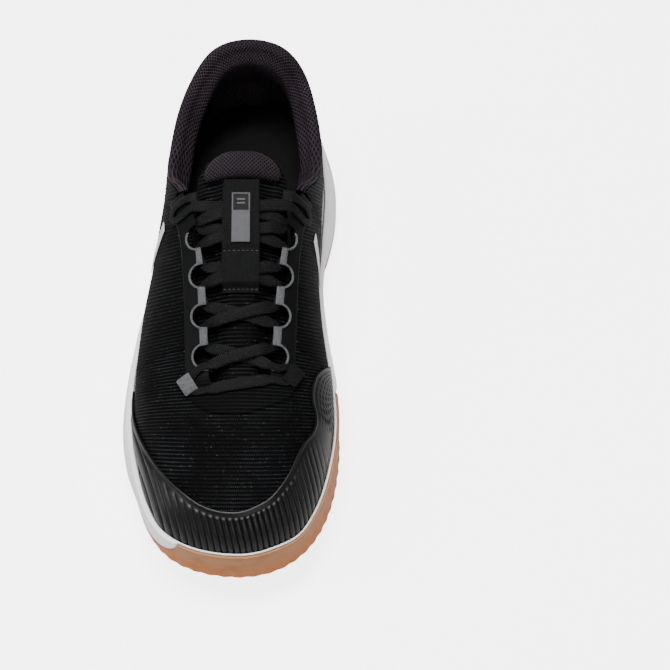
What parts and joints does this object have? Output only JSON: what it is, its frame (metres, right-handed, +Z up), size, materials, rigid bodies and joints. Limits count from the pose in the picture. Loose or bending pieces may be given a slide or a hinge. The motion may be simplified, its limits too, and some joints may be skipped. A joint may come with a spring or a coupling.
{
  "type": "court shoe",
  "caption": "Low-cut indoor court shoe, right foot: ribbed mesh upper, moulded toe guard, webbing lace loops, flat lace, padded collar, hinged tongue, foam midsole and gum cupsole.",
  "frame": {"origin": "on the ground plane, under the middle of the shoe's bounding box", "axes": "+Z up, +Y from toe to heel along the shoe's length, +X towards the medial side of the foot"},
  "size_m": [0.1179, 0.304, 0.1175],
  "materials": {
    "gum_rubber": "satin",
    "white_foam": "matte",
    "stiff_board": "matte",
    "insole_textile": "matte",
    "ribbed_mesh": "matte",
    "lining_textile": "matte",
    "air_mesh": "matte",
    "padding_foam": "matte",
    "satin_film": "satin",
    "grey_webbing": "matte",
    "guard_rubber": "satin",
    "white_print": "satin",
    "strap_webbing": "matte",
    "grey_label": "satin",
    "black_lace": "matte"
  },
  "bodies": {
    "shoe": {"outsole": "gum_rubber", "midsole": "white_foam", "lasting_board": "stiff_board", "insole": "insole_textile", "vamp_mesh": "ribbed_mesh", "vamp_lining": "lining_textile", "quarter_mesh_lateral": "ribbed_mesh", "quarter_lining_lateral": "lining_textile", "quarter_mesh_medial": "ribbed_mesh", "quarter_lining_medial": "lining_textile", "toe_puff": "stiff_board", "heel_counter": "stiff_board", "collar_lining": "air_mesh", "collar_foam": "padding_foam", "eyestay_film": "satin_film", "lace_webbing_lateral": "grey_webbing", "lace_webbing_medial": "grey_webbing", "lace_tab_lateral": "grey_webbing", "lace_tab_medial": "strap_webbing", "toe_guard": "guard_rubber", "heel_tab": "satin_film", "side_mark_lateral": "white_print", "side_mark_medial": "white_print", "lace": "black_lace"},
    "tongue": {"tongue_shell": "ribbed_mesh", "tongue_foam": "padding_foam", "tongue_lining": "lining_textile", "tongue_pad": "air_mesh", "tongue_strap": "strap_webbing", "tongue_label": "grey_label"}
  },
  "joints": [
    {"name": "tongue_hinge", "type": "hinge", "parent": "shoe", "child": "tongue", "pos_m": [0.0072, -0.066, 0.066], "axis": [1, 0, 0], "range_deg": [-8, 0], "deforming": ["lace"]}
  ]
}
